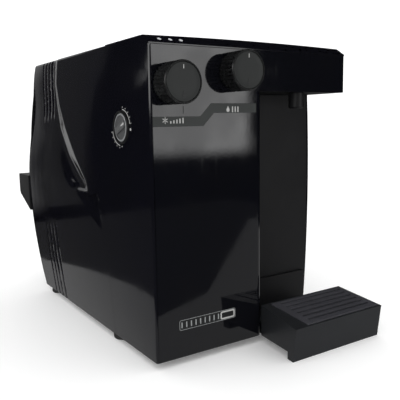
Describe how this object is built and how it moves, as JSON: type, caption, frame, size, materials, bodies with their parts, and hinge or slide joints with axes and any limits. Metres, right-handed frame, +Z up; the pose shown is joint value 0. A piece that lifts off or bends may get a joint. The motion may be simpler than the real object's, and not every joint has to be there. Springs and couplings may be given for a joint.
{
  "type": "countertop water dispenser",
  "caption": "Countertop chilled-water dispenser with a glossy black casing, an open cup bay, rotary taps, a side thermostat dial and a pull-out drip tray.",
  "frame": {"origin": "on the surface it stands on, centred between the side walls and between the front plane and the rear edge of the casing", "axes": "+Z up, +X to the right seen from the front, -Y towards the user"},
  "size_m": [0.344, 0.581, 0.4025],
  "materials": {
    "gloss_black": "polished black ABS moulding with a faint blue tint",
    "panel_black": "mirror-polished black panel",
    "satin_black": "satin black moulding",
    "tray_grey": "satin dark grey moulding",
    "grille_grey": "satin dark grey, slightly lighter than the tray",
    "knob_black": "satin black knurled knob",
    "knob_face": "satin charcoal knob face",
    "ribbon_grey": "dark grey printed ribbon",
    "badge_grey": "blank dark badge",
    "lens_white": "translucent indicator lens",
    "dial_silver": "satin silver dial",
    "grey_plastic": "grey engineering plastic",
    "white_plastic": "white food-grade plastic",
    "foam_white": "expanded foam",
    "rubber_black": "black rubber",
    "steel": "stainless sheet",
    "zinc_steel": "zinc-plated steel",
    "black_paint": "black painted steel",
    "brass_plain": "plain brass",
    "copper_tube": "drawn copper tube",
    "hose_clear": "milky food-grade hose",
    "lead_sheath": "sheathed lead"
  },
  "bodies": {
    "root": {"front_shell": "gloss_black", "rear_shell": "gloss_black", "back_cover": "satin_black", "rear_spacer": "satin_black", "base_plate": "satin_black", "feet": "rubber_black", "front_panel": "panel_black", "label_ribbon": "ribbon_grey", "badge_plate": "badge_grey", "control_strip": "gloss_black", "indicator_lenses": "lens_white", "bay_liner": "satin_black", "bay_plinth": "satin_black", "head_soffit": "satin_black", "tray_guides": "satin_black", "cold_tap": "white_plastic", "room_tap": "white_plastic", "tap_lock_nuts": "zinc_steel", "spout": "satin_black", "spout_seal": "rubber_black", "spout_elbow": "white_plastic", "thermostat_bezel": "satin_black", "thermostat_body": "grey_plastic", "thermostat_bracket": "zinc_steel", "cold_tank": "steel", "tank_lid": "white_plastic", "evaporator_coil": "copper_tube", "tank_insulation_lower": "foam_white", "tank_insulation_upper": "foam_white", "tank_shelf": "zinc_steel", "compressor": "black_paint", "compressor_mounts": "rubber_black", "relay_cover": "grey_plastic", "condenser": "black_paint", "condenser_wires": "black_paint", "filter_dryer": "copper_tube", "filter_cartridge": "white_plastic", "filter_head": "grey_plastic", "filter_bracket": "zinc_steel", "water_inlet_port": "grey_plastic", "power_gland": "satin_black", "terminal_block": "white_plastic", "inlet_hose": "hose_clear", "tank_hose": "hose_clear", "cold_tap_hose": "hose_clear", "room_tap_hose": "hose_clear", "cold_spout_hose": "hose_clear", "room_spout_hose": "hose_clear", "refrigerant_lines": "copper_tube", "internal_leads": "lead_sheath", "casing_screws": "zinc_steel"},
    "chilled_tap": {"cold_knob": "knob_black", "cold_knob_cap": "knob_face", "cold_stem": "brass_plain"},
    "natural_tap": {"room_knob": "knob_black", "room_knob_cap": "knob_face", "room_stem": "brass_plain"},
    "thermostat": {"thermostat_dial": "dial_silver"},
    "tray": {"drip_tray": "tray_grey"},
    "grille": {"drip_grille": "grille_grey"}
  },
  "joints": [
    {"name": "chilled_tap_turn", "type": "hinge", "parent": "root", "child": "chilled_tap", "pos_m": [-0.1295, -0.22, 0.3451], "axis": [0, -1, 0], "range_deg": [0, 90]},
    {"name": "natural_tap_turn", "type": "hinge", "parent": "root", "child": "natural_tap", "pos_m": [-0.0377, -0.22, 0.361], "axis": [0, -1, 0], "range_deg": [0, 90]},
    {"name": "thermostat_turn", "type": "hinge", "parent": "root", "child": "thermostat", "pos_m": [-0.16, -0.141, 0.295], "axis": [-1, 0, 0], "range_deg": [-135, 135]},
    {"name": "tray_pull", "type": "slide", "parent": "root", "child": "tray", "axis": [0, -1, 0], "range_m": [0, 0.09]},
    {"name": "grille_lift", "type": "slide", "parent": "tray", "child": "grille", "axis": [0, 0, 1], "range_m": [0, 0.04]}
  ]
}
